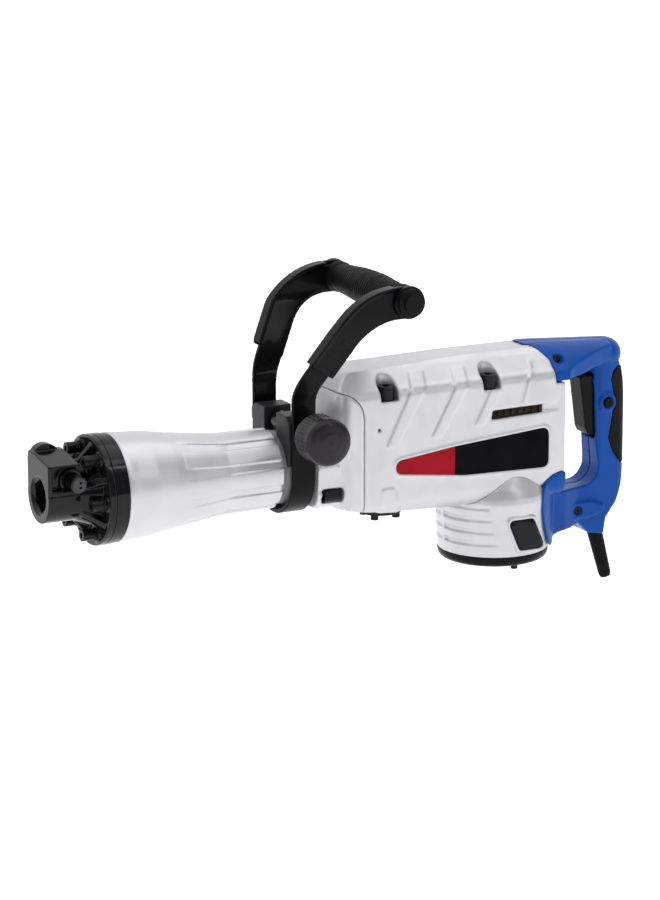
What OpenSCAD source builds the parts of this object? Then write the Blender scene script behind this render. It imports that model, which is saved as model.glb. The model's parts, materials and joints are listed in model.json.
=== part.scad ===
// Electric demolition hammer: 30 mm hexagonal shank socket, bolted nose, barrel with a
// clamped upright side handle, crank and gear housing, vertical motor and rear D-handle.
// The tool axis is X at y = 0, z = 0. The origin is the centre of the shank socket in the
// nose's front face, the rear handle lies towards +X and the motor hangs towards -Z.

/* [Nose] */
// Width across the flats of the hexagonal shank bore
shank_flats = 30; // [28:0.5:31]
// Radius of the rounded underside of the nose
nose_r = 27.5; // [26:0.5:29]
// Length of the nose in front of its conical neck
nose_len = 34; // [34:1:37]
// Radius of the tool retainer pin
retainer_r = 8; // [7:0.5:8.5]
// Distance that the retainer pin stands out to the left of the axis
retainer_reach = 40; // [34:1:44]

/* [Flange stack] */
// Outer radius of the bolted flange and its two rings
flange_r = 55.6; // [54:0.2:57]
// Radius of the circle on which the six flange bolts stand
bolt_circle_r = 44; // [43:0.5:45]
// Number of flange bolts
bolt_count = 6; // [4:1:6]

/* [Barrel] */
// Radius of the barrel behind the flange stack
barrel_front_r = 55; // [54:0.5:56]
// Radius of the ribbed middle of the barrel, over its ribs
barrel_mid_r = 41.5; // [41:0.5:43]
// Radius of the plain seat that carries the side handle
clamp_seat_r = 37.5; // [37:0.5:38.5]
// Number of raised ribs round the barrel
rib_count = 10; // [6:1:14]

/* [Side handle] */
// Width of the flat bar that the side handle is bent from
bar_w = 26; // [22:1:28]
// Thickness of that bar
bar_t = 4.5; // [4:0.5:5]
// Height of the grip's axis above the tool axis
grip_z = 174; // [170:1:178]
// Radius of the rubber grip
grip_r = 16; // [14:0.5:17]
// Radius of the clamp knob
knob_r = 24.2; // [20:0.2:26]
// Length of the clamp knob
knob_len = 40; // [30:1:42]

/* [Drive] */
// Throw of the crank: half of the piston's stroke
crank_throw = 19; // [15:1:20]
// Radius of the piston and of the striker
piston_r = 22; // [20:0.5:23]

/* [Housing] */
// Half of the housing's width
housing_half_w = 50; // [50:0.5:52]
// Height of the housing's flat top at the rear
housing_top_z = 100.5; // [99:0.5:102]
// Radius of the motor housing at its lower rim
motor_r = 58.3; // [57:0.1:60]
// Height of the motor housing's lower rim
motor_rim_z = -112.4; // [-116:0.2:-110]
// Thickness of the black tail cover under the motor
tail_h = 10.8; // [8:0.2:14]

/* [Rear handle] */
// Half of the width of the rear grip
grip_half_w = 18; // [16:0.5:20]
// Distance from the nose to the furthest point of the rear grip
grip_rear_x = 664; // [660:1:668]
// Diameter of the power cord that the guard takes
cord_d = 9; // [8:0.5:10]

/* [Hidden] */
$fn = 72;
eps = 0.01;
running = 0.05;      // radial clearance of a shaft in its bearing
loose = 0.3;         // gap between faces that only pass each other

black_iron = [0.09, 0.09, 0.10];
silver = [0.80, 0.80, 0.82];
steel = [0.62, 0.63, 0.65];
blue = [0.05, 0.22, 0.62];
rubber = [0.12, 0.12, 0.12];
black_plastic = [0.07, 0.07, 0.07];
copper = [0.72, 0.42, 0.22];

// Stations along the tool axis
flange_x = 53;
holder_x = 60.5;
seal_x = 68;
barrel_x = 74.5;
barrel_end_x = 284;
case_x = 306;
seam_x = 334;
housing_end_x = 568;

// Retainer pin axis, boss and the lug for its detent
pin_x = 27;
pin_z = 16.5;
recess_y = -17;
lug_r = 15;
lug_x = 15;
lug_z = 33;

// Side handle: the clamp bolt, the bends of the bar and the arch of its arms
clamp_x = 267.5;
clamp_z = 45.5;
arm_y = 47;
arm_splay = 30;
arch_x = 356;
arch_z = 107;
arch_r = 66.5;
arch_lean = 30;
bend_r = 48;
splay_z = [80, 157];
splay_r = 36;
grip_x = 366;
knob_y = -69;

// Crank, gear shafts and motor: four upright shafts in one row
module_final = 2;
module_first = 1.5;
module_mid = 1.75;
teeth_crank = 40;
teeth_final = 17;
teeth_second = 27;
teeth_mid = 24;
teeth_first = 31;
teeth_motor = 12;
crank_x = 377;
shaft_b_x = crank_x + module_final * (teeth_crank + teeth_final) / 2;
shaft_a_x = shaft_b_x + module_mid * (teeth_second + teeth_mid) / 2;
motor_x = shaft_a_x + module_first * (teeth_first + teeth_motor) / 2;
rod_len = 104;
piston_pin_x = crank_x - crank_throw - rod_len;
gear_z = [48, 61.5, 74];
gear_h = [12, 10, 10];
plate_z = 46;
boss_z = -56;
cap_h = 4.2;
gear_cover_z = 85;
gear_cover_h = 5;
shaft_r = 6;

// Motor
commutator_r = 17;
core_r = 27;
stator_r = 43.5;
brush_z = -90;

// Rear handle
trigger_pivot = [625, 54];
button_x = 638;
button_z = 30;
guard_top = [634, -108];
guard_end = [650, -165];

// ---- helpers -------------------------------------------------------------------------

// Points of an arc, from angle a0 to a1 in n steps
function arc(cx, cy, r, a0, a1, n) =
    [for (i = [0 : n]) let (a = a0 + (a1 - a0) * i / n) [cx + r * cos(a), cy + r * sin(a)]];

// Outline mirrored in its second half, for sections that are the same left and right
function both_sides(half) =
    concat(half, [for (i = [len(half) - 1 : -1 : 0]) [-half[i][0], half[i][1]]]);

// Extrudes a (y, z) section along X
module along_x(x0, x1) {
    translate([x0, 0, 0]) rotate([90, 0, 90]) linear_extrude(x1 - x0) children();
}

// Extrudes an (x, z) profile along Y
module along_y(y0, y1) {
    translate([0, y1, 0]) rotate([90, 0, 0]) linear_extrude(y1 - y0) children();
}

module rod_x(r, x0, x1) {
    translate([x0, 0, 0]) rotate([0, 90, 0]) cylinder(r = r, h = x1 - x0);
}

module cone_x(r0, r1, x0, x1) {
    translate([x0, 0, 0]) rotate([0, 90, 0]) cylinder(r1 = r0, r2 = r1, h = x1 - x0);
}

module rod_y(r, y0, y1) {
    translate([0, y0, 0]) rotate([-90, 0, 0]) cylinder(r = r, h = y1 - y0);
}

module rod_z(r, z0, z1) {
    translate([0, 0, z0]) cylinder(r = r, h = z1 - z0);
}

module tube_x(r_out, r_in, x0, x1) {
    difference() {
        rod_x(r_out, x0, x1);
        rod_x(r_in, x0 - 1, x1 + 1);
    }
}

module tube_z(r_out, r_in, z0, z1) {
    difference() {
        rod_z(r_out, z0, z1);
        rod_z(r_in, z0 - 1, z1 + 1);
    }
}

// Box from its lowest to its highest corner
module block(low, high) {
    translate(low) cube(high - low);
}

// Rectangle with true round corners
module round_rect(x0, y0, x1, y1, r) {
    translate([x0 + r, y0]) square([x1 - x0 - 2 * r, y1 - y0]);
    translate([x0, y0 + r]) square([x1 - x0, y1 - y0 - 2 * r]);
    for (x = [x0 + r, x1 - r])
        for (y = [y0 + r, y1 - r])
            translate([x, y]) circle(r);
}

module mirror_y() {
    children();
    mirror([0, 1, 0]) children();
}

// Hexagon with a corner up, by its width across the flats
module hexagon(flats) {
    rotate(90) circle(r = flats / 2 / cos(30), $fn = 6);
}

// Places its children at each flange bolt
module at_bolts(r = bolt_circle_r) {
    for (i = [0 : bolt_count - 1])
        rotate([66 + i * 360 / bolt_count, 0, 0]) translate([0, r, 0]) children();
}

// Spur gear: straight-sided teeth with the backlash of a running pair
module gear(teeth, size, h, bore) {
    pitch = 360 / teeth;
    r = teeth * size / 2;
    root = r - 1.1 * size;
    tip = r + 0.75 * size;
    linear_extrude(h) difference() {
        polygon([for (i = [0 : teeth - 1])
            for (p = [[-0.27, root], [-0.12, tip], [0.12, tip], [0.27, root]])
                let (a = (i + p[0]) * pitch) [p[1] * cos(a), p[1] * sin(a)]]);
        if (bore > 0) circle(bore);
    }
}

// Cap screw along +X with its head at the front and a hexagonal socket
module cap_screw_x(head_r, head_h, shank_r, length) {
    difference() {
        union() {
            rod_x(head_r, -head_h, 0);
            rod_x(shank_r, -eps, length);
        }
        along_x(-head_h - 1, -head_h * 0.45) hexagon(head_r * 0.95);
    }
}

// Screw that points down +Z from a head below, with a cross slot
module pan_screw(head_r, head_h, shank_r, length) {
    difference() {
        union() {
            rod_z(head_r, -head_h, 0);
            rod_z(shank_r, -eps, length);
        }
        for (a = [0, 90])
            rotate([0, 0, a]) block([-head_r * 0.7, -0.5, -head_h - 1], [head_r * 0.7, 0.5, -head_h * 0.5]);
    }
}

// ---- nose and flange stack -----------------------------------------------------------

module nose_block() {
    along_x(0, nose_len - 0.5)
        polygon([[-27, 0], [-27, 34.5], [13.6, 41.5], [24, 41.5], [27, 34], [27, 0]]);
    rotate([0, 90, 0]) rotate_extrude()
        polygon([[0, 0], [nose_r, 0], [nose_r, nose_len], [37, flange_x + 2], [0, flange_x + 2]]);
    translate([lug_x, 0, lug_z]) rod_y(lug_r, 13.6, 26);
}

module front_cover() {
    rib_base = 27;
    color(black_iron) difference() {
        union() {
            difference() {
                nose_block();
                block([4.5, -40, 9], [nose_len + 12, recess_y, 32]);
            }
            translate([pin_x, 0, pin_z]) rod_y(12.5, recess_y - 4, recess_y + 1);
            rod_x(flange_r - 3, flange_x + 1.5, holder_x);
            tube_x(flange_r, flange_r - 3.5, flange_x, holder_x);
            at_bolts() rod_x(8.2, flange_x - 1, flange_x + 2);
            for (i = [0 : bolt_count - 1])
                rotate([36 + i * 60, 0, 0])
                    translate([0, rib_base - 6, -3.5]) linear_extrude(7)
                            polygon([[nose_len - 3, 0], [nose_len - 3, 3], [flange_x + 2, 28], [flange_x + 2, 0]]);
        }
        along_x(-1, nose_len + 6) hexagon(shank_flats);
        cone_x(20, 17, -0.5, 2.5);
        rod_x(24 + running, nose_len + 2.2, holder_x + 1);
        translate([pin_x, 0, pin_z]) rod_y(retainer_r + running, -60, 40);
        translate([pin_x, 20, 0]) rod_z(2.8, pin_z, 37);
        at_bolts() rod_x(4.4, flange_x - 10, holder_x + 1);
    }
}

// The pin is cut to a half round where it crosses the socket: half a turn locks the tool
module retainer_pin() {
    color(steel) translate([pin_x, 0, pin_z]) difference() {
        union() {
            rod_y(retainer_r, 1 - retainer_reach, 27);
            rod_y(retainer_r - 1, -retainer_reach, 28);
        }
        block([-retainer_r - 1, -16, -retainer_r - 1], [retainer_r + 1, 16, 1.3]);
        for (z = [-2.5, 2.5])
            translate([1.5, 0, z]) rod_y(1.2, -retainer_reach - 1, 4 - retainer_reach);
    }
}

module retainer_detent() {
    color(steel) translate([pin_x, 20, 0]) {
        translate([0, 0, pin_z + retainer_r + 2.6]) sphere(2.5, $fn = 32);
        tube_z(2.6, 1.8, pin_z + retainer_r + 5.2, 36.9);
    }
}

module front_bolts() {
    color(black_iron) translate([flange_x - 3.4, 0, 0]) at_bolts() cap_screw_x(6, 12.5, 4, 42);
}

module front_washers() {
    color(black_iron) translate([flange_x - 3.4, 0, 0]) at_bolts() tube_x(6.8, 4.2, 0, 2.4);
}

module stack_ring(x0, x1, r) {
    difference() {
        rod_x(r, x0, x1);
        rod_x(24.5, x0 - 1, x1 + 1);
        at_bolts() rod_x(4.4, x0 - 1, x1 + 1);
    }
}

module damper_holder() {
    color(black_iron) stack_ring(holder_x, seal_x, flange_r);
}

module seal_ring() {
    color(black_iron) stack_ring(seal_x, barrel_x, flange_r - 0.6);
}

module tool_sleeve() {
    color(steel) difference() {
        union() {
            rod_x(24, nose_len + 2.2, 104);
            rod_x(29.6, barrel_x + 0.1, 80);
        }
        along_x(nose_len, 105) hexagon(shank_flats + 0.6);
    }
}

module damper_rings() {
    color(rubber) for (x = [80.5, 88.5]) tube_x(29.7, 24.3, x, x + 6.5);
}

// ---- barrel and hammer mechanism -----------------------------------------------------

module barrel() {
    r_core = barrel_mid_r - 2;
    color(silver) difference() {
        union() {
            rotate([0, 90, 0]) rotate_extrude()
                polygon([[0, barrel_x], [barrel_front_r, barrel_x], [barrel_front_r, 80],
                    [54, 88], [53, 108], [49.6, 131], [45.4, 152], [42.6, 172], [r_core + 1.5, 186],
                    [r_core, 194], [r_core, 246], [clamp_seat_r, 252], [clamp_seat_r, 282],
                    [clamp_seat_r, barrel_end_x], [0, barrel_end_x]]);
            for (i = [0 : rib_count - 1])
                rotate([(i + 0.5) * 360 / rib_count, 0, 0]) barrel_rib();
        }
        rod_x(30, barrel_x - 1, 158);
        rod_x(27.5, 150, barrel_end_x + 1);
        at_bolts() rod_x(4, barrel_x - 1, 96);
    }
}

// One raised rib, running out at the front into the cone of the barrel
module barrel_rib() {
    half = 8.5;
    intersection() {
        rotate([0, 90, 0]) rotate_extrude()
            polygon([[30, 140], [48, 140], [46.4, 152], [43.6, 172], [barrel_mid_r, 190],
                [barrel_mid_r - 0.6, 248], [barrel_mid_r - 3, 250], [30, 250]]);
        along_x(141, 250) translate([-half, 31]) square([2 * half, 20]);
    }
}

module impact_bolt() {
    color(steel) union() {
        cone_x(12.5, 14.5, 92, 94);
        rod_x(14.5, 94 - eps, 118);
        rod_x(21, 118 - eps, 131);
        rod_x(12, 131 - eps, 160);
    }
}

module bolt_guide() {
    color(steel) tube_x(29.9, 12 + running, 134, 149);
}

module cylinder_liner() {
    color(steel) difference() {
        union() {
            rod_x(27.3, 149.2, 303);
            rod_x(29.9, 149.2, 155);
        }
        rod_x(piston_r + running, 148, 304);
    }
}

module striker() {
    color(steel) difference() {
        union() {
            rod_x(11, 163, 176);
            rod_x(piston_r, 175, 215);
        }
        tube_x(piston_r + 1, piston_r - 2.5, 190, 194);
    }
}

module striker_ring() {
    color(rubber) tube_x(piston_r, piston_r - 2.5, 190.1, 193.9);
}

module piston() {
    x = piston_pin_x;
    color(steel) difference() {
        rod_x(piston_r, x - 22, x + 12);
        rod_x(16, x - 10.6, x + 13);
        translate([x, 0, 0]) rod_z(6, -piston_r - 1, piston_r + 1);
        tube_x(piston_r + 1, piston_r - 2.5, x - 18, x - 14);
    }
}

module piston_rings() {
    color(rubber) tube_x(piston_r, piston_r - 2.5, piston_pin_x - 17.9, piston_pin_x - 14.1);
}

module piston_pin() {
    color(steel) translate([piston_pin_x, 0, 0]) rod_z(6, -20, 20);
}

// The big end runs under the crank pin, which stops just above it
module connecting_rod() {
    x = piston_pin_x;
    color(steel) difference() {
        union() {
            translate([x, 0, 0]) rod_z(10, -7, 7);
            translate([x + rod_len, 0, 0]) rod_z(15, -7, 7);
            block([x + 5, -5.5, -5], [x + rod_len - 5, 5.5, 5]);
        }
        translate([x, 0, 0]) rod_z(6 + running, -8, 8);
        translate([x + rod_len, 0, 0]) rod_z(8 + running, -8, 8);
    }
}

// ---- side handle ---------------------------------------------------------------------

// Side view of one arm in (x, z): upright, leaning back and arched over to the grip
module arm_profile(w) {
    top_x = arch_x - arch_r * cos(arch_lean);
    top_z = arch_z + arch_r * sin(arch_lean);
    bend = top_z - (top_x - clamp_x) / tan(arch_lean) - bend_r * tan(arch_lean / 2);
    polygon(concat(
        [[clamp_x - w / 2, 0], [clamp_x + w / 2, 0]],
        arc(clamp_x + bend_r, bend, bend_r - w / 2, 180, 180 - arch_lean, 5),
        arc(arch_x, arch_z, arch_r - w / 2, 180 - arch_lean, 90, 12),
        [[grip_x, arch_z + arch_r - w / 2], [grip_x, arch_z + arch_r + w / 2]],
        arc(arch_x, arch_z, arch_r + w / 2, 90, 180 - arch_lean, 12),
        arc(clamp_x + bend_r, bend, bend_r + w / 2, 180 - arch_lean, 180, 5)));
    translate([grip_x, arch_z + arch_r]) circle(w / 2);
}

// Half plane that ends a cover square to the leaning arm, in (x, z)
module cover_end(z) {
    translate([clamp_x + 8, z]) rotate(-arch_lean) translate([-80, -200]) square([160, 200]);
}

// Cross-section of the bent bar in (y, z): a U under the barrel and two splayed arms
function bar_path(side) =
    let (out = atan(arm_splay / (splay_z[1] - splay_z[0])), t = splay_r * tan(out / 2))
    concat([[arm_y + side, 0]],
        arc(arm_y + splay_r, splay_z[0] - t, splay_r - side, 180, 180 - out, 5),
        arc(arm_y + arm_splay - splay_r, splay_z[1] + t, splay_r + side, -out, 0, 5),
        [[arm_y + arm_splay + side, 240]]);

// Cross-section (y, z) of what lies between two offsets of the bar's path
module bar_band(inner, outer, low_z) {
    difference() {
        polygon(concat(bar_path(outer), [[0, 240], [0, low_z]]));
        polygon(concat(bar_path(inner), [[0, 240], [0, low_z - 1]]));
    }
}

module handle_frame() {
    lower_r = arm_y;
    color(black_iron) difference() {
        union() {
            mirror_y() intersection() {
                along_y(0, 100) arm_profile(bar_w);
                along_x(clamp_x - 20, grip_x + 20) bar_band(-bar_t, 0, 0);
            }
            intersection() {
                tube_x(lower_r, lower_r - bar_t, clamp_x - bar_w / 2, clamp_x + bar_w / 2);
                block([0, -100, -60], [500, 100, 0]);
            }
        }
        translate([clamp_x, 0, clamp_z]) rod_y(6.2, -60, 60);
        translate([grip_x, 0, grip_z]) rod_y(6.2, -100, 100);
    }
}

// Moulded covers on the outside of both arms, with a raised rim along the outer edge
module arm_covers() {
    w = 33;
    rim = 3;
    low_z = 112;
    color(black_plastic) mirror_y() difference() {
        union() {
            intersection() {
                along_y(0, 100) difference() {
                    arm_profile(w);
                    cover_end(low_z - 3);
                }
                along_x(clamp_x - 20, grip_x + 20) bar_band(0.1, 4.6, 0);
            }
            intersection() {
                along_y(0, 100) difference() {
                    arm_profile(w);
                    cover_end(low_z);
                    translate([rim, -rim]) arm_profile(w + 1);
                    translate([grip_x - 14, arch_z]) square([80, 100]);
                }
                along_x(clamp_x - 20, grip_x + 20) bar_band(-8, 6.6, 0);
            }
        }
        translate([grip_x, 0, grip_z]) rod_y(6.2, 0, 200);
        intersection() {
            along_y(0, 100) arm_profile(bar_w + 0.4);
            along_x(clamp_x - 20, grip_x + 20) bar_band(-20, 0.1, 0);
        }
    }
}

module grip_core() {
    color(steel) translate([grip_x, 0, grip_z]) rod_y(6, -90, 90);
}

module grip_sleeve() {
    y1 = arm_y + arm_splay - bar_t - 0.1;
    color(rubber) translate([grip_x, 0, grip_z]) rotate([-90, 0, 0]) rotate_extrude()
        polygon([[6, -y1], [grip_r, -y1], [grip_r, 6 - y1], [grip_r - 1.5, 10 - y1],
            [grip_r + 0.4, -36], [grip_r + 1.8, -20], [grip_r + 2.2, 0], [grip_r + 1.8, 20], [grip_r + 0.4, 36],
            [grip_r - 1.5, y1 - 10], [grip_r, y1 - 6], [grip_r, y1], [6, y1]]);
}

module grip_end_caps() {
    y0 = arm_y + arm_splay + 4.7;
    color(black_plastic) mirror_y() translate([grip_x, 0, grip_z]) difference() {
        union() {
            rod_y(16.6, y0, y0 + 4);
            rod_y(14.5, y0 + 4 - eps, y0 + 8.5);
            rod_y(10, y0 + 8.5 - eps, y0 + 12.7);
        }
        rod_y(6, y0 - 1, 90);
    }
}

// Saddle blocks that hug the upper sides of the barrel seat under the clamp bolt
module clamp_shoes() {
    w = bar_w + 4;
    color([0.3, 0.3, 0.31]) mirror_y() difference() {
        intersection() {
            block([clamp_x - w / 2, 13.5, 8], [clamp_x + w / 2, arm_y - bar_t - 0.1, 60]);
            along_x(clamp_x - w, clamp_x + w)
                polygon([[13, 60], [36, 60], [43, 52], [43, 10], [36, 8], [13, 36]]);
        }
        rod_x(clamp_seat_r + 0.1, clamp_x - w, clamp_x + w);
        translate([clamp_x, 0, clamp_z]) rod_y(6.2, -60, 60);
    }
}

module clamp_bolt() {
    color(steel) translate([clamp_x, 0, clamp_z]) {
        rod_y(6, knob_y - 22, 54);
        rotate([-90, 0, 0]) translate([0, 0, arm_y + 0.1]) linear_extrude(8) hexagon(19);
    }
}

module clamp_spacer() {
    color(black_iron) translate([clamp_x, 0, clamp_z]) {
        difference() {
            rod_y(11, -12.5, 12.5);
            rod_y(6.1, -20, 20);
            translate([-clamp_x, 0, -clamp_z]) rod_x(clamp_seat_r + 0.4, 0, 300);
        }
        difference() {
            rod_y(11, knob_y + 2, -arm_y - 0.1);
            rod_y(6.1, -80, 0);
        }
    }
}

module clamp_knob() {
    flutes = 36;
    dome = 7;
    color(black_plastic) translate([clamp_x, knob_y, clamp_z]) rotate([90, 0, 0]) difference() {
        rotate_extrude() polygon(concat([[0, -1.5], [15, -1.5], [knob_r - 3, 1], [knob_r - 0.8, 3],
            [knob_r, 6], [knob_r, knob_len - dome - 3]],
            arc(knob_r - dome, knob_len - dome - 3, dome, 0, 56, 5),
            [[18, knob_len - 2.6], [10, knob_len - 0.8], [0, knob_len]]));
        rod_z(6 + running, -3, 23);
        for (i = [0 : flutes - 1])
            rotate([0, 0, i * 360 / flutes]) translate([knob_r + 0.35, 0, 2])
                cylinder(r = 1.3, h = 22, $fn = 8);
    }
}

// ---- housing and gears ---------------------------------------------------------------

// Side profile (x, z) of the crank and gear housing, drawn in by t
module side_profile(t, front_x) {
    nose_arc_r = 27;
    polygon(concat(
        [[front_x + t, -41 + t]],
        arc(front_x + nose_arc_r, 68, nose_arc_r - t, 180, 95, 8),
        [[360, 95.8 - t], [400, 97.2 - t], [446, 99.3 - t], [500, housing_top_z - t],
            [housing_end_x - t, housing_top_z - 0.3 - t], [housing_end_x - t, -56 + t],
            [440, -55 + t], [380, -51 + t], [337, -47 + t]]));
}

// Cross-section (y, z) of the same housing, drawn in by t
module cross_section(t) {
    w = housing_half_w - t;
    low_r = 20;
    shoulder = arc(w - 14, 68 - t / 2, 14, 8, 62, 6);
    polygon(both_sides(concat(
        [for (i = [0 : 8]) let (a = -90 + i * 90 / 8)
            [w - low_r + low_r * cos(a), -36 + t + low_r * sin(a)]],
        shoulder,
        [[33.5, housing_top_z - 12 - t], [26, housing_top_z - 5.6 - t], [19, housing_top_z - 1.4 - t],
            [12, housing_top_z + 0.6 - t], [5, housing_top_z + 1.2 - t]])));
}

module housing_form(t, front_x) {
    intersection() {
        along_y(-60, 60) side_profile(t, front_x);
        along_x(front_x - 1, housing_end_x + 1) cross_section(t);
    }
}

// What the housing keeps in plan once its front corners are rounded
module front_round() {
    r = 20;
    y = housing_half_w + 1;
    translate([0, 0, -80]) linear_extrude(200)
        polygon(both_sides_y(concat(arc(case_x + r, y - r, r, 180, 90, 8), [[case_x + r + 4, 60], [600, 60]])));
}

// Region of the side view that belongs to the front casting
module case_region(gap) {
    polygon(concat([[case_x - 30, -80], [seam_x - gap, -80], [seam_x - gap, 51]],
        arc(case_x, 51, seam_x - case_x - gap, 0, 90, 10), [[case_x - 30, 79 - gap]]));
}

// Region of the side view that belongs to the rear handle's front cap
module cap_region(gap) {
    polygon([[515 - gap, 112], [549 - gap, 98], [557 - gap, 88], [557 - gap, 66 - gap],
        [600, 66 - gap], [600, 112]]);
}

// Region of the side view that belongs to the handle's saddle at the motor
module saddle_region(gap) {
    polygon([[600, -29 + gap], [562, -29.5 + gap], [552.5 - gap, -32.5], [545.5 - gap, -38], [540 - gap, -46],
        [537.5 - gap, -55], [537.5 - gap, -66], [540.5 - gap, -79], [544.5 - gap, -91], [549.5 - gap, -103],
        [556 - gap, -110], [600, -110]]);
}

module crank_case() {
    color(silver) difference() {
        union() {
            intersection() {
                housing_form(0, case_x);
                along_y(-60, 60) case_region(0.5);
                front_round();
            }
            along_x(barrel_end_x, case_x + 12) round_rect(-44, -40, 44, 44, 14);
            block([seam_x - 2, -42, -42], [424, 42, 44]);
            block([seam_x - 2, -43, plate_z - 8], [556, 43, plate_z]);
            for (z = [-25, 2, 28])
                block([barrel_end_x + 2, -46, z], [case_x + 1, 46, z + 4]);
        }
        block([312, -36, -38], [418, 36, 28]);
        rod_x(27.5, barrel_end_x - 1, 313);
        translate([crank_x, 0, 0]) rod_z(14 + running, 20, 60);
        translate([crank_x, 0, 0]) rod_z(26, 30, 60);
        translate([crank_x, 0, 0]) rod_z(14, -60, -30);
        for (x = [shaft_b_x, shaft_a_x]) translate([x, 0, 0]) rod_z(11, 38.5, 60);
        translate([motor_x, 0, 0]) rod_z(14, 30, 60);
        mirror_y() block([289, -60, -33], [311.5, -35.5, -18]);
    }
}

module crank_shaft() {
    color(steel) translate([crank_x, 0, 0]) {
        difference() {
            rod_z(30, 9, 19);
            for (s = [-1, 1]) translate([14, s * 26, 0]) rod_z(9, 8, 20);
        }
        translate([-crank_throw, 0, 0]) rod_z(8, 8, 9 + eps);
        rod_z(14, 19 - eps, 46);
        rod_z(12, 46 - eps, 89.8);
    }
}

module crank_gear() {
    color(steel) translate([crank_x, 0, gear_z[0]]) gear(teeth_crank, module_final, gear_h[0], 12);
}

module ball_bearing(x, r_out, r_in, z0, z1) {
    translate([x, 0, 0]) tube_z(r_out, r_in + running, z0, z1);
}

module shaft_bearings() {
    top = gear_cover_z + 0.2;
    color(steel) {
        ball_bearing(crank_x, 26, 14, 30.2, 45);
        ball_bearing(crank_x, 18, 12, top, top + 4.8);
        for (x = [shaft_b_x, shaft_a_x]) {
            ball_bearing(x, 11, shaft_r, 38.7, 45.5);
            ball_bearing(x, 11, shaft_r, top, top + 4.8);
        }
        ball_bearing(motor_x, 14, shaft_r, 38.2, 45.5);
        ball_bearing(motor_x, 13, shaft_r, -113, -105);
    }
}

// Black plate with a centring plug, screwed under the boss below the crank
module crank_cap() {
    color(black_iron) translate([crank_x, 0, 0]) difference() {
        union() {
            rod_z(22.2, boss_z - cap_h, boss_z);
            rod_z(12.9, boss_z - eps, -40);
        }
        at_cap_screws() rod_z(2.6, -70, -42);
    }
}

module at_cap_screws() {
    for (a = [45 : 90 : 315]) rotate([0, 0, a]) translate([17.5, 0, 0]) children();
}

// Shaft turned to put a tooth gap of its pinion opposite a tooth of the gear in front
module final_pinion() {
    color(steel) translate([shaft_b_x, 0, 0]) {
        rod_z(shaft_r, 38.8, 89.8);
        translate([0, 0, gear_z[0]])
            rotate([0, 0, 180 + 180 / teeth_final]) gear(teeth_final, module_final, gear_h[0], 0);
    }
}

module second_gear() {
    color(steel) translate([shaft_b_x, 0, gear_z[1]]) gear(teeth_second, module_mid, gear_h[1], shaft_r);
}

module second_pinion() {
    color(steel) translate([shaft_a_x, 0, 0]) {
        rod_z(shaft_r, 38.8, 89.8);
        translate([0, 0, gear_z[1]])
            rotate([0, 0, 180 + 180 / teeth_mid]) gear(teeth_mid, module_mid, gear_h[1], 0);
    }
}

module first_gear() {
    color(steel) translate([shaft_a_x, 0, gear_z[2]]) gear(teeth_first, module_first, gear_h[2], shaft_r);
}

module gear_cover() {
    color(silver) difference() {
        translate([0, 0, gear_cover_z]) linear_extrude(gear_cover_h) round_rect(356, -23.5, 494, 23.5, 8);
        translate([crank_x, 0, 0]) rod_z(18, gear_cover_z - 1, 100);
        for (x = [shaft_b_x, shaft_a_x]) translate([x, 0, 0]) rod_z(11, gear_cover_z - 1, 100);
    }
}

// Pockets for the long screws through the shoulders, by x of their middle
screw_x = [363, 481];
screw_y = 39.5;
pocket_z = 66;

module shoulder_pocket(x) {
    translate([x, 0, 0]) mirror_y() {
        translate([0, screw_y, 0]) rod_z(10, pocket_z, 110);
        block([-10, screw_y, pocket_z], [10, 60, 110]);
    }
}

// Slanted raised bars on the sides, running up over the shoulders, in (x, z)
module side_bars() {
    polygon([[359, 19], [370, 19], [403, 76], [409, 91], [393, 91], [387, 76]]);
    polygon([[411, 24], [422, 24], [451, 71], [456, 90], [441, 90], [437, 71]]);
    polygon([[461, 31], [471, 31], [489, 60], [491, 66], [479, 66], [476, 60]]);
    polygon([[515.5, 47], [518.5, 47], [526.5, 72], [534.5, 89], [531.5, 89], [523.5, 72]]);
}

module housing_cover() {
    color(silver) difference() {
        union() {
            intersection() {
                housing_form(0, case_x);
                front_round();
            }
            intersection() {
                housing_form(-1.1, case_x);
                along_y(-60, 60) side_bars();
            }
            mirror_y() along_y(housing_half_w - 1, housing_half_w + 0.6) badge_outline(-1.8);
            // Boss for the crank cap, faired into the sides
            translate([crank_x, 0, 0]) rotate_extrude()
                polygon([[0, -46], [23.5, -46], [21, -52.5], [22, -53.5], [22, boss_z], [0, boss_z]]);
            intersection() {
                housing_form(-1, case_x);
                along_y(-60, 60) polygon([[354, -24], [367, -24], [375, -52], [350, -52]]);
            }
        }
        along_y(-70, 70) case_region(0);
        difference() {
            housing_form(4, seam_x);
            for (x = screw_x) translate([x, 0, 0]) mirror_y()
                block([-12.5, screw_y - 11.5, pocket_z - 3.5], [12.5, 60, 110]);
        }
        along_y(-46, 46) translate([seam_x - 2, -44.5]) square([30, 106]);
        along_y(-70, 70) cap_region(0.4);
        along_y(-70, 70) saddle_region(0.4);
        for (x = screw_x) shoulder_pocket(x);
        for (x = screw_x) translate([x, 0, 0]) mirror_y()
            translate([0, screw_y, 0]) rod_z(3.3, 60, 80);
        translate([crank_x, 0, 0]) {
            rod_z(13, -70, -30);
            at_cap_screws() rod_z(2.6, -70, -46);
        }
        translate([motor_x, 0, 0]) rod_z(motor_r - 8, -70, -40);
        mirror_y() vent_slot();
        mirror_y() badge_recess();
        mirror_y() translate([351, 0, 38]) rod_y(1.7, housing_half_w - 5, housing_half_w + 2);
    }
}

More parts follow.
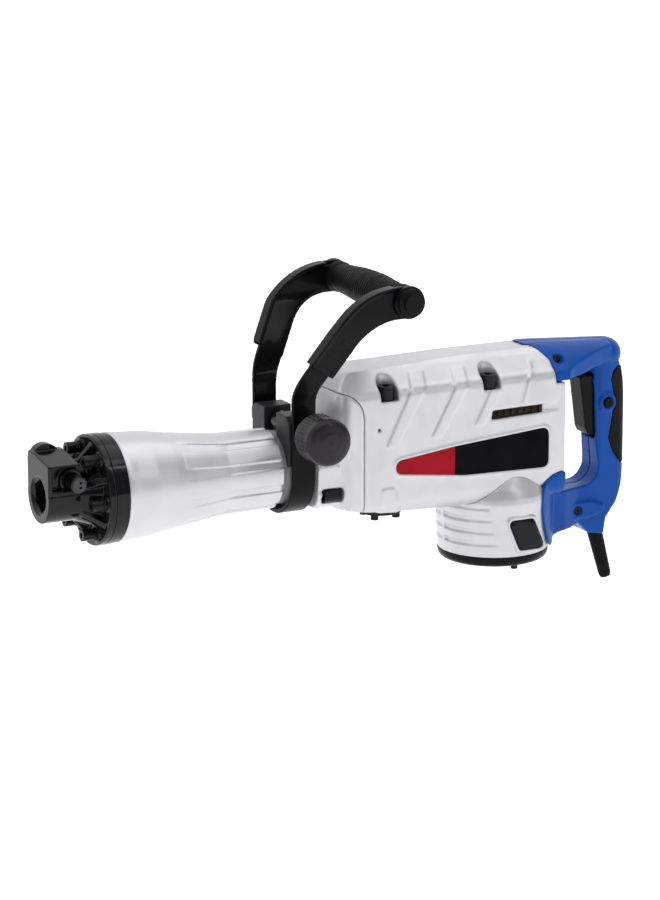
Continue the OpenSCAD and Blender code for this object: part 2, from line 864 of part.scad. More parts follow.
// Long slot that runs out in a ramp at its rear end
module vent_slot() {
    w = housing_half_w;
    intersection() {
        along_y(w - 5, w + 3) polygon([[480, 34.5], [561, 37], [561, 45.5], [482, 44]]);
        linear_extrude(60)
            polygon([[470, w - 6], [541, w - 6], [541, w - 2.8], [560, w - 0.4], [562, w + 4], [470, w + 4]]);
    }
}

module vent_grilles() {
    slats = 7;
    color([0.12, 0.10, 0.08]) mirror_y() {
        along_y(housing_half_w - 5.6, housing_half_w - 4.1)
            polygon([[478, 33], [545, 35], [545, 46.4], [480, 45.5]]);
        for (i = [1 : slats])
            block([480 + i * 8.1, housing_half_w - 4.2, 38], [482 + i * 8.1, housing_half_w - 1, 42.5]);
    }
}

// Name plate outline (x, z), left blank: a tapered bar with a round nose
module badge_outline(t) {
    polygon(concat(
        arc(377, -3.2, 8.2 - t, 110, 270, 12),
        [[450, -20.4 + t], [540, -22.6 + t]],
        arc(541, -14.6, 8 - t, 270, 360, 6),
        arc(541, 12.6, 8 - t, 0, 97, 6),
        [[437, 12.4 - t], [376, 5 - t]]));
}

module badge_recess() {
    along_y(housing_half_w - 0.8, housing_half_w + 2) badge_outline(0);
}

module badges() {
    color("black") mirror_y() along_y(housing_half_w - 0.8, housing_half_w) badge_outline(0.6);
}

module housing_screws() {
    color(black_iron) for (x = screw_x) translate([x, 0, 0]) mirror_y()
        translate([0, screw_y, 0]) difference() {
            union() {
                rod_z(3.2, pocket_z - 4, pocket_z);
                rod_z(8.4, pocket_z, pocket_z + 15);
            }
            translate([0, 0, pocket_z + 9]) linear_extrude(8) hexagon(8);
        }
    color(black_iron) mirror_y() translate([300, -42.6, -25.5]) difference() {
        rod_x(6.4, -9.5, 9);
        along_x(-11, -5) hexagon(6.5);
    }
}

// Small pan-head screws of the crank cap, the tail cover and the rear handle's halves
module body_screws() {
    color(black_iron) {
        translate([crank_x, 0, boss_z - cap_h]) at_cap_screws() pan_screw(4.1, 5.2, 2.5, 14);
        translate([motor_x, 0, motor_rim_z - tail_h + 1])
            for (a = [30, 150, 270]) rotate([0, 0, a]) translate([46, 0, 0])
                pan_screw(3.6, 5.4, 2.2, 14);
        at_handle_screws() pan_screw(4.2, 2.6, 2, 20);
    }
}

// ---- motor ---------------------------------------------------------------------------

// Outside of the motor housing, drawn in by t: a tapered drum with a shoulder that fairs
// it into the flat sides
module motor_form(t, z0, z1) {
    intersection() {
        translate([motor_x, 0, 0]) rotate_extrude()
            polygon([[0, z0], [motor_r - t, z0], [motor_r + 3 - t, -56], [motor_r + 2.2 - t, -50],
                [57.4 - t, -42], [53.6 - t, -35], [housing_half_w + 0.2 - t, z1], [0, z1]]);
        block([motor_x - 80, -80, z0], [housing_end_x - t, 80, z1]);
    }
}

module motor_inside() {
    wall = 4.5;
    intersection() {
        translate([motor_x, 0, 0]) rotate_extrude()
            polygon([[0, motor_rim_z - 1], [motor_r - wall, motor_rim_z - 1], [motor_r + 3 - wall, -50],
                [0, -50]]);
        block([motor_x - 80, -80, motor_rim_z - 1], [housing_end_x - wall, 80, -50]);
    }
}

// Curved louvre grooves from the front rib to both sides, running out shallow at their ends
module motor_louvres() {
    mirror_y() for (i = [0 : 3])
        translate([motor_x, 0, -61 - i * 13]) intersection() {
            difference() {
                cylinder(r = 80, h = 5);
                translate([0.8, -2.2, -1]) cylinder(r = motor_r + 0.9 - i * 0.7, h = 7);
            }
            linear_extrude(5) polygon([[0, 0], [-160, -6], [-160, -160], [11 * i - 100, -160]]);
        }
}

module motor_housing() {
    color(silver) difference() {
        union() {
            difference() {
                motor_form(0, motor_rim_z, -28);
                motor_inside();
            }
            brush_bosses(17.4, motor_r + 3);
        }
        housing_form(-0.02, case_x);
        motor_louvres();
        mirror_y() along_y(40, 70) brush_outline(15);
    }
}

// Outline (x, z) of a brush cover: a leaning square with round corners
module brush_outline(half) {
    r = 5;
    lean = 5;
    hull() for (c = [[-1, -1, lean], [1, -1, lean], [1, 1, -lean], [-1, 1, -lean]])
        translate([517 + c[0] * (half - r) + c[2], brush_z + 1.5 + c[1] * (half + 1.5 - r)])
            circle(r, $fn = 32);
}

module brush_bosses(half, reach) {
    mirror_y() along_y(motor_r - 6, reach) brush_outline(half);
}

module brush_covers() {
    color(black_plastic) mirror_y() {
        along_y(motor_r - 1, motor_r + 2) brush_outline(14.8);
        along_y(motor_r + 2 - eps, motor_r + 3.8) brush_outline(13.4);
    }
}

module tail_cover() {
    z0 = motor_rim_z - tail_h;
    color(black_plastic) difference() {
        intersection() {
            translate([motor_x, 0, 0]) rotate_extrude()
                polygon(concat([[0, z0], [motor_r - 8, z0]],
                    arc(motor_r - 8, z0 + 8, 8, 270, 360, 6),
                    [[motor_r, motor_rim_z - 0.2], [motor_r - 5.5, motor_rim_z - 0.2],
                        [motor_r - 9, z0 + 4], [20, z0 + 4], [17, motor_rim_z + 8],
                        [0, motor_rim_z + 8]]));
            block([0, -80, -200], [housing_end_x, 80, 0]);
        }
        translate([motor_x, 0, 0]) rod_z(13, -113.2, -90);
        translate([motor_x, 0, 0])
            for (a = [30, 150, 270]) rotate([0, 0, a]) translate([46, 0, 0]) {
                rod_z(2.3, z0 - 1, z0 + 8);
                rod_z(5, z0 - 1, z0 + 1);
            }
    }
}

module armature() {
    color(steel) translate([motor_x, 0, 0]) {
        rod_z(shaft_r, -112.8, 87);
        rod_z(core_r, -70, -20);
        rod_z(20, -75, -15);
        translate([0, 0, gear_z[2]])
            rotate([0, 0, 180 + 180 / teeth_motor]) gear(teeth_motor, module_first, gear_h[2], 0);
    }
}

module commutator() {
    color(copper) translate([motor_x, 0, 0]) difference() {
        tube_z(commutator_r, shaft_r, -100, -78);
        for (i = [0 : 11])
            rotate([0, 0, 15 + i * 30]) block([commutator_r - 1.5, -0.4, -99], [commutator_r + 1, 0.4, -78]);
    }
}

module fan() {
    blades = 12;
    color(black_plastic) translate([motor_x, 0, 0]) {
        difference() {
            union() {
                rod_z(12, -9, 9);
                rod_z(40, -9, -6.5);
                for (i = [0 : blades - 1])
                    rotate([0, 0, i * 360 / blades]) block([8, -1, -9], [39.5, 1, 6]);
            }
            rod_z(shaft_r, -10, 10);
        }
    }
}

// Laminated field ring, wider below the housing floor, with its end coils
module stator() {
    wide_z = -57.5;
    color([0.35, 0.30, 0.27]) translate([motor_x, 0, 0]) difference() {
        union() {
            rod_z(stator_r, wide_z - 1, -18);
            rod_z(52, -72, wide_z);
            rod_z(49, -82.5, -71);
        }
        rod_z(core_r + 1, -84, -17);
        mirror_y() block([-12, 36, wide_z], [12, 60, -17]);
    }
}

module brush_holders() {
    color([0.7, 0.55, 0.3]) translate([motor_x, 0, brush_z]) mirror_y() difference() {
        block([-5.5, commutator_r + 3, -7], [5.5, 53, 7]);
        block([-3.6, commutator_r + 2, -5.1], [3.6, 50, 5.1]);
    }
}

module carbon_brushes() {
    color([0.15, 0.15, 0.15]) translate([motor_x, 0, brush_z]) mirror_y()
        block([-3.5, commutator_r + 0.2, -5], [3.5, commutator_r + 24, 5]);
}

// ---- rear handle ---------------------------------------------------------------------

// Screws of the two halves: x, z, depth of the head's seat from the middle plane and side
handle_screw_points = [[567, 87.5, 31, -1], [602, -82.5, 18, -1], [636, 68, 12, 1], [646, -66, 12, 1]];

// Places its children at each screw, with +Z pointing into the handle
module at_handle_screws() {
    for (p = handle_screw_points)
        translate([p[0], p[3] * p[2], p[1]]) rotate([p[3] * 90, 0, 0]) children();
}

// Side view (x, z) of the grip column and the lower arm
module grip_profile() {
    polygon(concat([[622, 80], [626, -10]],
        arc(608.5, -37, 20.5, 15, -95, 7),
        [[575, -57], [556, -58], [556, -107], [574, -101], [592, -100], [604, -97],
            [617, -109.5], [636, -113], [639, -95], [651, -80], [659, -60], [662, -42]],
        [[grip_rear_x, -8], [grip_rear_x - 1, 20], [659, 52], [655, 68], [648, 80]]));
}

// Side view of the front cap and the top arm
module top_arm_profile() {
    polygon(concat([[532, 103.6], [549, 97], [557, 87], [557, 67], [574, 67], [598, 69], [624, 74]],
        [[641, 76], [641, 96.4], [630, 97.2], [600, 98.7], [572, 101], [552, 103]]));
}

module handle_form() {
    w = grip_half_w;
    rear = grip_rear_x;
    // Front cap over the end of the housing
    intersection() {
        along_y(-60, 60) top_arm_profile();
        along_x(530, 574) cross_section(-0.6);
        crown();
    }
    // Top arm, narrowing towards the grip
    intersection() {
        along_y(-60, 60) top_arm_profile();
        linear_extrude(200) polygon(both_sides_y([[573, 49], [582, 44], [602, 36], [628, 25],
            [rear - 24, 20.8]]));
        crown();
    }
    // Rounded end of the top arm
    translate([rear - 24, 0, 0]) rotate_extrude()
        polygon([[0, 66], [12, 67], [18, 71], [20.5, 76], [21, 80], [20, 86], [17, 91], [12, 95], [6, 96.8],
            [0, 97]]);
    // Lower arm and grip
    intersection() {
        along_y(-60, 60) grip_profile();
        translate([0, 0, -150]) linear_extrude(250) polygon(both_sides_y(concat([[555, 33], [582, 28],
            [604, w + 1], [rear - 20, w]], arc(rear - 14, w - 14, 14, 80, 10, 5))));
        difference() {
            block([500, -60, -200], [700, 60, 200]);
            // Front corners of the column
            mirror_y() translate([0, 0, -34]) linear_extrude(103) polygon([[610, 5], [632, 19.5], [610, 30]]);
        }
    }
    // Saddle on the back of the motor housing
    intersection() {
        translate([motor_x, 0, 0]) rod_z(motor_r + 4.5, -113, -37);
        along_y(-60, 60) saddle_region(0);
        block([535, -60, -110], [584, 60, -37]);
    }
    intersection() {
        housing_form(-1.5, seam_x);
        along_y(-60, 60) saddle_region(0);
    }
    // Raised tabs round the lower screws
    along_y(-22.5, 22.5)
        polygon([[597, -91], [597, -74], [618, -74], [634, -80], [634, -86], [618, -91]]);
}

// Rounded roof of the front cap and the top arm
module crown() {
    translate([0, 0, 41]) cone_x(63.2, 52, 530, 700);
}

function both_sides_y(half) =
    concat(half, [for (i = [len(half) - 1 : -1 : 0]) [half[i][0], -half[i][1]]]);

// Soft pad over the back of the grip, in the side view
module pad_region(gap) {
    polygon([[700, 70], [652 - gap, 69], [645 - gap, 62], [643 - gap, 54], [648 - gap, 33],
        [643.5 - gap, 8], [640.5 - gap, -9], [646 - gap, -23], [657 - gap, -38], [700, -40 - gap]]);
}

module handle_half() {
    difference() {
        handle_form();
        difference() {
            housing_form(0.02, seam_x);
            along_y(-60, 60) cap_region(0);
            along_y(-60, 60) saddle_region(0);
        }
        housing_form(4.5, seam_x);
        motor_form(-0.05, -114, -27.9);
        translate([motor_x, 0, 0]) rod_z(motor_r, -130, -111);
        along_y(-60, 60) pad_region(0.1);
        switch_space();
        // Wire way from the switch to the guard and to the housing
        block([633, -7, -80], [642, 7, -8]);
        block([627, -7, -104], [636, 7, -74]);
        block([560, -12, -90], [632, 12, -70]);
        block([641, -6, 60], [647, 6, 80]);
        block([620, -6, 76], [647, 6, 86]);
        block([545, -18, 74], [628, 18, 90]);
        translate([button_x, 0, button_z]) rod_y(5 + loose, -40, -5);
        at_handle_screws() {
            rod_z(5, -60, 0);
            rod_z(2.2, -1, 22);
        }
        guard_socket(0.05);
    }
}

// Room for the trigger and the switch
module switch_space() {
    block([600, -12.4, -9], [648, 12.4, 61]);
}

// Half of the pin that the trigger turns on
module trigger_pin(y0, y1) {
    translate([trigger_pivot[0], 0, trigger_pivot[1]]) rod_y(2.5, y0, y1);
}

module handle_left() {
    color(blue) {
        intersection() {
            handle_half();
            block([500, -80, -200], [700, 0, 200]);
        }
        translate([button_x, 0, button_z]) difference() {
            rod_y(10, -grip_half_w - 2.4, -grip_half_w + 0.5);
            rod_y(5 + loose, -60, 0);
        }
        trigger_pin(-13, 0);
    }
}

module handle_right() {
    color(blue) {
        intersection() {
            handle_half();
            block([500, 0, -200], [700, 80, 200]);
        }
        trigger_pin(0, 13);
    }
}

module grip_overmould() {
    color(rubber) difference() {
        intersection() {
            handle_form();
            along_y(-60, 60) pad_region(0);
        }
        switch_space();
        translate([button_x, 0, button_z]) rod_y(10.2, -40, -5);
    }
}

module trigger() {
    color(black_plastic) difference() {
        along_y(-11.8, 11.8)
            polygon([[608, 58], [615.5, 3], [618, -3], [621, -5], [629, -5], [629, 59], [612, 60.5]]);
        translate([trigger_pivot[0], 0, trigger_pivot[1]]) rod_y(2.5 + running, -13, 13);
    }
}

module switch_body() {
    color([0.2, 0.2, 0.22]) block([637, -11, 0], [647, 11, 50]);
}

module lock_button() {
    color(black_plastic) translate([button_x, 0, button_z]) rod_y(5, -grip_half_w - 4.6, -13.5);
}

module guard_line() {
    dx = guard_end[0] - guard_top[0];
    dz = guard_end[1] - guard_top[1];
    translate([guard_top[0], 0, guard_top[1]]) rotate([0, 180 - atan2(dx, -dz), 0]) children();
}

module guard_socket(gap) {
    guard_line() translate([0, 0, -12]) cylinder(r = 9.5 + gap, h = 22);
}

// Tapered cord guard with its flange inside the handle and the bore for the power cord
module cord_guard() {
    length = norm(guard_end - guard_top);
    color(rubber) guard_line() difference() {
        union() {
            translate([0, 0, -9]) cylinder(r = 9.5, h = 9);
            cylinder(r1 = 8.4, r2 = 6.6, h = length - 3);
            translate([0, 0, length - 3]) cylinder(r1 = 6.6, r2 = 5.4, h = 3);
        }
        translate([0, 0, -13]) cylinder(r = cord_d / 2, h = length + 14);
    }
}

// ---- nodes ---------------------------------------------------------------------------

front_cover();
retainer_pin();
retainer_detent();
front_bolts();
front_washers();
damper_holder();
seal_ring();
tool_sleeve();
damper_rings();
impact_bolt();
bolt_guide();
barrel();
cylinder_liner();
striker();
striker_ring();
piston();
piston_rings();
piston_pin();
connecting_rod();
handle_frame();
arm_covers();
grip_core();
grip_sleeve();
grip_end_caps();
clamp_shoes();
clamp_bolt();
clamp_spacer();
clamp_knob();
crank_case();
crank_shaft();
crank_gear();
shaft_bearings();
crank_cap();
final_pinion();
second_gear();
second_pinion();
first_gear();
gear_cover();
housing_cover();
housing_screws();
body_screws();
badges();
vent_grilles();
motor_housing();
tail_cover();
armature();
commutator();
fan();
stator();
brush_holders();
carbon_brushes();
brush_covers();
handle_left();
handle_right();
grip_overmould();
trigger();
switch_body();
lock_button();
cord_guard();
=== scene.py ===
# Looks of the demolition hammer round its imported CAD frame. Metres, in the CAD's frame.
import bpy, bmesh, json, math
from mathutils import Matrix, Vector


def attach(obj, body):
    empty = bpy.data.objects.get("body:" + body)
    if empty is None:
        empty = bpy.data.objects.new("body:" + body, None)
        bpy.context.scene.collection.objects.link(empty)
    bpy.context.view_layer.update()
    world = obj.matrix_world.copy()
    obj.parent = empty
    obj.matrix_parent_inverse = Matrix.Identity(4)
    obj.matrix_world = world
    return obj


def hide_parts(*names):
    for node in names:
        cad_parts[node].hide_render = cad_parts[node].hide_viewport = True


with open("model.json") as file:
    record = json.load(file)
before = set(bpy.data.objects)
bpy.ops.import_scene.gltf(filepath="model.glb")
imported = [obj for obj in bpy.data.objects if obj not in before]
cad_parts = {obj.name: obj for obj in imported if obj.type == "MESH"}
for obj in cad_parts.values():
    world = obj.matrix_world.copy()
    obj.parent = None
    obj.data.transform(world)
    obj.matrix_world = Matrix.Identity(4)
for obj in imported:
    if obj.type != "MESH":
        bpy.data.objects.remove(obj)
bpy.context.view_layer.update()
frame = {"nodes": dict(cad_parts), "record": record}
nodes = frame["nodes"]
body_of = {n: b for b, names in frame["record"]["behaviour"]["bodies"].items() for n in names}
scene = bpy.context.scene


# ---- materials ---------------------------------------------------------------------------

class Mat:
    """A node material with short calls for the nodes used here."""

    def __init__(self, name):
        self.m = bpy.data.materials.new(name)
        self.m.use_nodes = True
        self.t = self.m.node_tree
        self.bsdf = self.t.nodes["Principled BSDF"]
        self.pos = self.new("ShaderNodeNewGeometry").outputs["Position"]

    def new(self, kind, **values):
        n = self.t.nodes.new(kind)
        for key, value in values.items():
            setattr(n, key, value)
        return n

    def link(self, a, b):
        self.t.links.new(a, b)

    def set(self, **values):
        for key, value in values.items():
            self.bsdf.inputs[key.replace("_", " ")].default_value = value
        return self

    def noise(self, scale, detail=4.0, rough=0.55, stretch=None):
        n = self.new("ShaderNodeTexNoise")
        n.inputs["Scale"].default_value = scale
        n.inputs["Detail"].default_value = detail
        n.inputs["Roughness"].default_value = rough
        source = self.pos
        if stretch:
            mp = self.new("ShaderNodeMapping")
            mp.inputs["Scale"].default_value = stretch
            self.link(self.pos, mp.inputs["Vector"])
            source = mp.outputs["Vector"]
        self.link(source, n.inputs["Vector"])
        return n.outputs["Fac"]

    def ramp(self, fac, stops):
        r = self.new("ShaderNodeValToRGB")
        e = r.color_ramp.elements
        while len(e) < len(stops):
            e.new(0.5)
        for k, (at, value) in zip(e, stops):
            k.position = at
            k.color = (value, value, value, 1) if isinstance(value, float) else (*value, 1)
        self.link(fac, r.inputs["Fac"])
        return r.outputs["Color"]

    def math(self, op, a, b):
        n = self.new("ShaderNodeMath", operation=op)
        for i, v in enumerate((a, b)):
            if isinstance(v, (int, float)):
                n.inputs[i].default_value = v
            else:
                self.link(v, n.inputs[i])
        return n.outputs[0]

    def mix(self, fac, a, b):
        n = self.new("ShaderNodeMix", data_type="RGBA")
        for i, v in ((0, fac), (6, a), (7, b)):
            if isinstance(v, (tuple, list)):
                n.inputs[i].default_value = (*v, 1)
            elif isinstance(v, (int, float)):
                n.inputs[i].default_value = v
            else:
                self.link(v, n.inputs[i])
        return n.outputs[2]

    def color(self, out):
        self.link(out, self.bsdf.inputs["Base Color"])
        return self

    def rough(self, out):
        self.link(out, self.bsdf.inputs["Roughness"])
        return self

    def tones(self, noise, a, b, low=0.3, high=0.7):
        """Two tones, or two values, that follow a noise."""
        return self.ramp(noise, [(low, a), (high, b)])

    def round_normal(self, radius):
        bevel = self.new("ShaderNodeBevel", samples=4)
        bevel.inputs["Radius"].default_value = radius
        return bevel.outputs[0]

    def axis(self, letter):
        """One coordinate of the shaded point."""
        split = self.new("ShaderNodeSeparateXYZ")
        self.link(self.pos, split.inputs[0])
        return split.outputs[letter]

    def edge(self):
        """Worn, slightly brighter edges: how far the rounded normal leaves the flat one."""
        geo = self.new("ShaderNodeNewGeometry")
        dot = self.new("ShaderNodeVectorMath", operation="DOT_PRODUCT")
        self.link(self.round_normal(0.0012), dot.inputs[0])
        self.link(geo.outputs["Normal"], dot.inputs[1])
        return self.math("SUBTRACT", 1.0, dot.outputs["Value"])

    def bump(self, height, strength, distance, radius):
        b = self.new("ShaderNodeBump")
        b.inputs["Strength"].default_value = strength
        b.inputs["Distance"].default_value = distance
        self.link(height, b.inputs["Height"])
        if radius:
            self.link(self.round_normal(radius), b.inputs["Normal"])
        self.link(b.outputs[0], self.bsdf.inputs["Normal"])
        return self


def silver(name, brushed=False):
    """Silver paint: fine metal flake, orange peel and slight handling marks."""
    m = Mat(name).set(Metallic=0.55 if brushed else 0.5)
    cloud = m.tones(m.noise(22, 5), (0.55, 0.55, 0.572), (0.61, 0.61, 0.633))
    flake = m.math("MULTIPLY", m.noise(2600, 2), 0.35)
    m.color(m.mix(flake, cloud, (0.74, 0.74, 0.76)))
    if brushed:
        m.rough(m.tones(m.noise(16, 2, stretch=(0.3, 5, 5)), 0.33, 0.40))
    else:
        m.rough(m.tones(m.noise(90, 4), 0.30, 0.44))
    return m.bump(m.noise(900, 2), 0.06, 0.0001, 0.0012).m


def enamel(name, color, rough, peel, bump, radius=0.0012, gloss=0.12, coat=0.07):
    """Thick black paint on a casting: soft ripples and paint worn thin on the edges."""
    m = Mat(name).set(Specular_IOR_Level=gloss, Coat_Weight=coat, Coat_Roughness=0.08)
    scuffs = m.math("MULTIPLY", m.noise(55, 5), 0.12)
    worn = m.tones(m.math("ADD", m.edge(), scuffs), 0.0, 1.0, 0.10, 0.35)
    dusty = tuple(c * 1.7 + 0.002 for c in color)
    dust = m.tones(m.noise(28, 5), color, dusty, 0.35, 0.75)
    m.color(m.mix(m.math("MULTIPLY", worn, 0.25), dust, (0.07, 0.07, 0.074)))
    m.rough(m.tones(m.noise(70, 4), *rough))
    return m.bump(m.noise(peel, 3), bump, 0.0006, radius).m


def moulded(name, a, b, rough, grain=1500, bump=0.18, coat=0.0, shine=0.08):
    """Moulded plastic: fine spark-eroded grain and a faint change of tone."""
    m = Mat(name).set(Specular_IOR_Level=shine, Coat_Weight=coat, Coat_Roughness=0.15)
    m.color(m.tones(m.noise(18, 5), a, b))
    m.rough(m.tones(m.noise(140, 4), *rough))
    return m.bump(m.noise(grain, 2), bump, 0.00012, 0.001).m


def ribbed(name, pitch, a, b):
    """Rubber with fine ribs round it, one after the other along Y."""
    m = Mat(name).set(Specular_IOR_Level=0.08)
    m.color(m.tones(m.noise(18, 5), a, b))
    m.rough(m.tones(m.noise(140, 4), 0.48, 0.62))
    wave = m.math("SINE", m.math("MULTIPLY", m.axis("Y"), 2 * math.pi / pitch), 0.0)
    height = m.math("ADD", wave, m.math("MULTIPLY", m.noise(900, 2), 0.2))
    return m.bump(height, 0.55, 0.0005, 0).m


def metal(name, a, b, rough=(0.2, 0.36), stretch=(9, 9, 1)):
    """Turned or ground metal with fine tool marks."""
    m = Mat(name).set(Metallic=1.0)
    m.color(m.tones(m.noise(40, 4), a, b))
    marks = m.noise(120, 3, stretch=stretch)
    m.rough(m.tones(marks, *rough))
    return m.bump(marks, 0.12, 0.0001, 0.0005).m


def plate_paint():
    """Blank name plate: red front part, black rear part."""
    field_change_x = 0.4375
    m = Mat("badge_paint").set(Specular_IOR_Level=0.03)
    rear = m.math("GREATER_THAN", m.axis("X"), field_change_x)
    red = m.tones(m.noise(30, 4), (0.31, 0.008, 0.016), (0.39, 0.012, 0.024))
    black = m.tones(m.noise(30, 4), (0.002, 0.002, 0.004), (0.005, 0.005, 0.008))
    m.color(m.mix(rear, red, black))
    m.rough(m.tones(m.noise(120, 4), 0.16, 0.26))
    return m.bump(m.noise(300, 2), 0.05, 0.0002, 0.0004).m


paint = silver("silver_paint_flake")
barrel_paint = silver("silver_barrel_paint", brushed=True)
plate = plate_paint()
black_iron = enamel("black_enamel_casting", (0.004, 0.004, 0.005), (0.10, 0.20), 260, 0.22,
                    gloss=0.06, coat=0.32)
bar_enamel = enamel("black_enamel_bar", (0.002, 0.002, 0.0025), (0.24, 0.38), 520, 0.12, gloss=0.07)
shoe_iron = enamel("phosphated_iron", (0.016, 0.016, 0.018), (0.32, 0.48), 700, 0.25)
screw_black = enamel("blackened_screw_steel", (0.006, 0.006, 0.007), (0.22, 0.36), 900, 0.22, radius=0.0004)
blue = moulded("blue_glass_filled_nylon", (0.002, 0.062, 0.32), (0.003, 0.080, 0.40), (0.26, 0.38),
               bump=0.12, coat=0.05, shine=0.12)
black_nylon = moulded("black_moulded_nylon", (0.002, 0.002, 0.003), (0.005, 0.005, 0.006), (0.22, 0.34),
                      coat=0.05)
grip_rubber = moulded("black_grip_rubber", (0.004, 0.004, 0.004), (0.009, 0.008, 0.008), (0.5, 0.66),
                      grain=900, bump=0.3)
sleeve_rubber = ribbed("ribbed_grip_rubber", 0.0042, (0.003, 0.003, 0.003), (0.006, 0.006, 0.006))
soft_rubber = moulded("dark_soft_touch_rubber", (0.008, 0.0075, 0.007), (0.014, 0.013, 0.012), (0.42, 0.56),
                      grain=1100, bump=0.25)
knob_nylon = moulded("black_fluted_nylon", (0.014, 0.012, 0.014), (0.024, 0.021, 0.024), (0.24, 0.34),
                     shine=0.2)
gloss_black = moulded("gloss_black_cap_plastic", (0.005, 0.005, 0.006), (0.009, 0.009, 0.010), (0.14, 0.22),
                      grain=200, bump=0.05, coat=0.1, shine=0.12)
pin_steel = metal("blackened_turned_steel", (0.04, 0.04, 0.043), (0.07, 0.07, 0.074), (0.26, 0.40),
                  stretch=(6, 1, 6))
inner_steel = metal("ground_steel", (0.40, 0.40, 0.42), (0.52, 0.52, 0.54), stretch=(1, 9, 9))
copper = metal("drawn_copper", (0.62, 0.28, 0.14), (0.75, 0.38, 0.2))
brass = metal("drawn_brass", (0.62, 0.45, 0.18), (0.74, 0.56, 0.26))
core_iron = enamel("varnished_laminations", (0.10, 0.055, 0.03), (0.3, 0.5), 1200, 0.22)
carbon = moulded("pressed_carbon", (0.02, 0.02, 0.02), (0.04, 0.04, 0.04), (0.6, 0.8))
grille = moulded("dark_grille_plastic", (0.018, 0.013, 0.010), (0.04, 0.03, 0.022), (0.4, 0.6))

LOOK = {
    barrel_paint: ["barrel"],
    paint: ["crank_case", "gear_cover", "housing_cover", "motor_housing"],
    black_iron: ["front_cover", "damper_holder", "seal_ring", "crank_cap", "clamp_spacer"],
    bar_enamel: ["handle_frame"],
    shoe_iron: ["clamp_shoes"],
    screw_black: ["front_bolts", "front_washers", "housing_screws", "body_screws"],
    blue: ["handle_left", "handle_right"],
    black_nylon: ["arm_covers", "grip_end_caps", "tail_cover", "fan", "trigger", "lock_button",
                  "switch_body"],
    knob_nylon: ["clamp_knob"],
    sleeve_rubber: ["grip_sleeve"],
    grip_rubber: ["cord_guard", "damper_rings", "striker_ring", "piston_rings"],
    soft_rubber: ["grip_overmould"],
    gloss_black: ["brush_covers"],
    pin_steel: ["retainer_pin", "clamp_bolt"],
    inner_steel: ["retainer_detent", "tool_sleeve", "impact_bolt", "bolt_guide", "cylinder_liner", "striker",
                  "piston", "piston_pin", "connecting_rod", "grip_core", "crank_shaft", "crank_gear",
                  "shaft_bearings", "final_pinion", "second_gear", "second_pinion", "first_gear", "armature"],
    copper: ["commutator"],
    brass: ["brush_holders"],
    core_iron: ["stator"],
    carbon: ["carbon_brushes"],
    grille: ["vent_grilles"],
    plate: ["badges"],
}
material_of = {n: m for m, names in LOOK.items() for n in names}
for name, ob in nodes.items():
    for slot in ob.material_slots:
        slot.material = material_of[name]


# ---- pieces ------------------------------------------------------------------------------

def soften(name, voxel, rounds):
    """A casting or moulding with soft edges: the CAD node's shape remeshed finely and relaxed."""
    me = bpy.data.meshes.new(name + "_soft")
    bm = bmesh.new()
    bm.from_mesh(nodes[name].data)
    bmesh.ops.remove_doubles(bm, verts=bm.verts, dist=1e-6)
    bm.to_mesh(me)
    bm.free()
    ob = bpy.data.objects.new(name + "_soft", me)
    scene.collection.objects.link(ob)
    r = ob.modifiers.new("r", "REMESH")
    r.mode = "VOXEL"
    r.voxel_size = voxel
    r.use_smooth_shade = True
    s = ob.modifiers.new("s", "SMOOTH")
    s.factor = 0.5
    s.iterations = rounds
    dg = bpy.context.evaluated_depsgraph_get()
    out = bpy.data.meshes.new_from_object(ob.evaluated_get(dg))
    ob.modifiers.clear()
    ob.data = out
    for p in out.polygons:
        p.use_smooth = True
    out.materials.clear()
    out.materials.append(material_of[name])
    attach(ob, body_of[name])
    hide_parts(name)


# Voxel size in mm and rounds of smoothing of each softened piece
SOFT = {
    "handle_left": (0.9, 22), "handle_right": (0.9, 22), "grip_overmould": (0.9, 14),
    "housing_cover": (1.1, 5), "crank_case": (1.1, 6), "motor_housing": (0.9, 4), "front_cover": (0.8, 4),
    "handle_frame": (0.8, 3), "arm_covers": (0.9, 4), "clamp_shoes": (0.8, 3), "trigger": (0.6, 8),
    "brush_covers": (0.8, 40), "grip_end_caps": (0.6, 3), "barrel": (0.8, 1),
}
for name, (voxel_mm, rounds) in SOFT.items():
    soften(name, voxel_mm / 1000, rounds)


# ---- stage, light and camera ---------------------------------------------------------------

FLOOR_Z = -0.2


def floor():
    """Pale floor, low enough for the side handle to swing over it."""
    me = bpy.data.meshes.new("floor")
    bm = bmesh.new()
    bmesh.ops.create_grid(bm, x_segments=2, y_segments=2, size=6)
    bm.to_mesh(me)
    bm.free()
    ob = bpy.data.objects.new("floor", me)
    ob.location = (0.33, 0, FLOOR_Z)
    scene.collection.objects.link(ob)
    m = Mat("floor_white").set(Roughness=0.9, Specular_IOR_Level=0.1, Emission_Strength=0.55)
    m.bsdf.inputs["Emission Color"].default_value = (1, 1, 1, 1)
    m.color(m.ramp(m.noise(3, 2), [(0.3, (0.93, 0.93, 0.93)), (0.7, (0.95, 0.95, 0.95))]))
    me.materials.append(m.m)


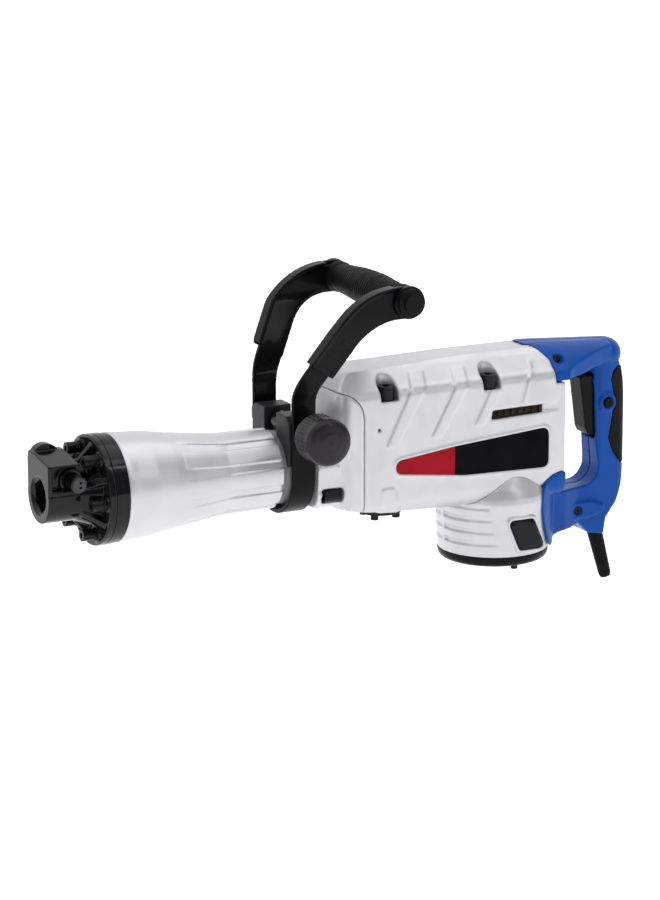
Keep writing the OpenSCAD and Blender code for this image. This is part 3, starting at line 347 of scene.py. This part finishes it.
def area(name, place, aim, size, power):
    """Soft rectangular light."""
    light = bpy.data.lights.new(name, "AREA")
    light.shape = "RECTANGLE"
    light.size, light.size_y = size
    light.energy = power
    ob = bpy.data.objects.new(name, light)
    ob.location = place
    ob.rotation_euler = (Vector(aim) - Vector(place)).to_track_quat("-Z", "Y").to_euler()
    scene.collection.objects.link(ob)


def studio_world():
    """White wall behind the tool, greyer room in front of it."""
    world = bpy.data.worlds.new("studio")
    scene.world = world
    world.use_nodes = True
    tree = world.node_tree
    where = tree.nodes.new("ShaderNodeTexCoord")
    split = tree.nodes.new("ShaderNodeSeparateXYZ")
    wall = tree.nodes.new("ShaderNodeMapRange")
    tree.links.new(where.outputs["Generated"], split.inputs[0])
    tree.links.new(split.outputs["Y"], wall.inputs["Value"])
    for name, value in (("From Min", -0.5), ("From Max", 0.2), ("To Min", 0.13), ("To Max", 1.05)):
        wall.inputs[name].default_value = value
    tree.links.new(wall.outputs["Result"], tree.nodes["Background"].inputs["Strength"])
    tree.nodes["Background"].inputs["Color"].default_value = (1, 1, 1, 1)


def long_lens_camera(place, aim):
    camera = bpy.data.cameras.new("camera")
    camera.lens = 140
    camera.sensor_width = 36
    camera.shift_x, camera.shift_y = -0.0256, 0.0078
    camera.clip_end = 50
    eye = bpy.data.objects.new("camera", camera)
    eye.location = place
    eye.rotation_euler = (Vector(aim) - Vector(place)).to_track_quat("-Z", "Y").to_euler()
    scene.collection.objects.link(eye)
    scene.camera = eye


floor()
area("key_top", (0.1, -0.7, 1.7), (0.33, 0, 0), (1.6, 0.6), 8)
area("over_right", (1.1, 0.0, 1.7), (0.42, 0, 0.08), (1.4, 0.9), 4.5)
area("strip", (1.1, -1.5, 1.35), (0.3, 0, 0), (0.12, 1.1), 3)
area("fill_left", (-1.9, -0.9, 0.6), (0.2, 0, 0), (0.5, 1.2), 3.5)
area("fill_right", (1.5, -1.9, 0.5), (0.45, 0, 0), (0.4, 1.2), 2)
studio_world()
long_lens_camera((-1.2439, -3.0835, 0.8631), (0.3462, 0, 0))
scene.view_settings.view_transform = "Standard"
